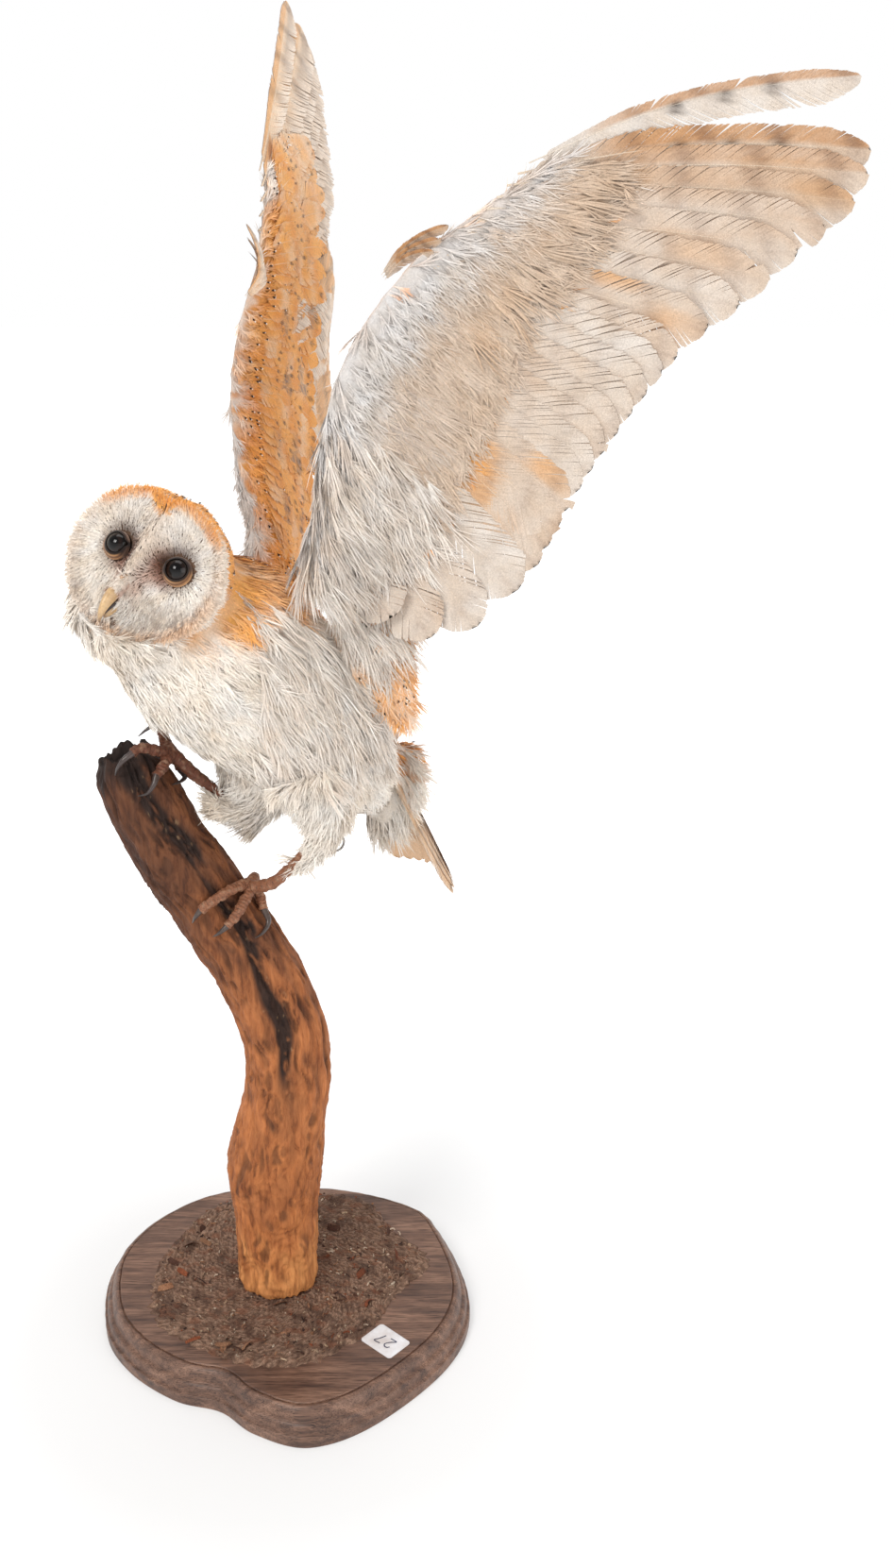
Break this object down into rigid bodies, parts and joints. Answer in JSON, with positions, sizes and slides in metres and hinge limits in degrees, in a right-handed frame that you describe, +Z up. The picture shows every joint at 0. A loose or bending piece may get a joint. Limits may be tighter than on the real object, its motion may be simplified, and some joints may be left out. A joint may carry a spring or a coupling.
{
  "type": "taxidermy barn owl",
  "caption": "Life-size taxidermy barn owl with raised wings, leaning forward on a bent upright log that stands on a routed wooden plaque.",
  "frame": {"origin": "centre of the plaque's underside", "axes": "+Z up, through the plaque to the raised wing tips; -Y towards the side that the face turns to; +X towards the tail and the nearer raised wing"},
  "size_m": [0.4909, 0.3614, 0.9092],
  "materials": {
    "white_plumage": "soft matt feathers, white with a warm tint",
    "gold_plumage": "matt feathers, golden orange with small dark dots",
    "flight_feather": "smooth pale feather vanes with faint bars",
    "eye": "polished, opaque, very dark brown",
    "bill": "horn, half gloss",
    "foot_skin": "dry scaly skin",
    "claw": "dark horn, half gloss",
    "log_wood": "bare weathered wood with scraps of bark",
    "plaque_wood": "stained and waxed, half gloss",
    "groundwork": "matt peat and chips set in glue",
    "label": "plain paper",
    "wire": "dull steel"
  },
  "bodies": {
    "root": {"base_plaque": "plaque_wood", "groundwork": "groundwork", "base_label": "label", "perch_log": "log_wood", "head": "white_plumage", "bill_upper": "bill", "bill_lower": "bill", "eye_left": "eye", "eye_right": "eye", "neck": "white_plumage", "trunk": "white_plumage", "upper_arm_left": "white_plumage", "forearm_left": "white_plumage", "hand_left": "white_plumage", "primaries_left": "flight_feather", "secondaries_left": "flight_feather", "tertials_left": "flight_feather", "outer_primary_left": "flight_feather", "scapulars_left": "gold_plumage", "alula_left": "gold_plumage", "upper_arm_right": "white_plumage", "forearm_right": "white_plumage", "hand_right": "white_plumage", "primaries_right": "flight_feather", "secondaries_right": "flight_feather", "tertials_right": "flight_feather", "outer_primary_right": "flight_feather", "scapulars_right": "gold_plumage", "alula_right": "gold_plumage", "tail_coverts": "white_plumage", "tail_feathers": "flight_feather", "thigh_left": "white_plumage", "shank_left": "foot_skin", "toe_outer_left": "foot_skin", "claw_outer_left": "claw", "toe_middle_left": "foot_skin", "claw_middle_left": "claw", "toe_inner_left": "foot_skin", "claw_inner_left": "claw", "toe_hind_left": "foot_skin", "claw_hind_left": "claw", "thigh_right": "white_plumage", "shank_right": "foot_skin", "toe_outer_right": "foot_skin", "claw_outer_right": "claw", "toe_middle_right": "foot_skin", "claw_middle_right": "claw", "toe_inner_right": "foot_skin", "claw_inner_right": "claw", "toe_hind_right": "foot_skin", "claw_hind_right": "claw", "wire_hook": "wire"}
  },
  "joints": []
}
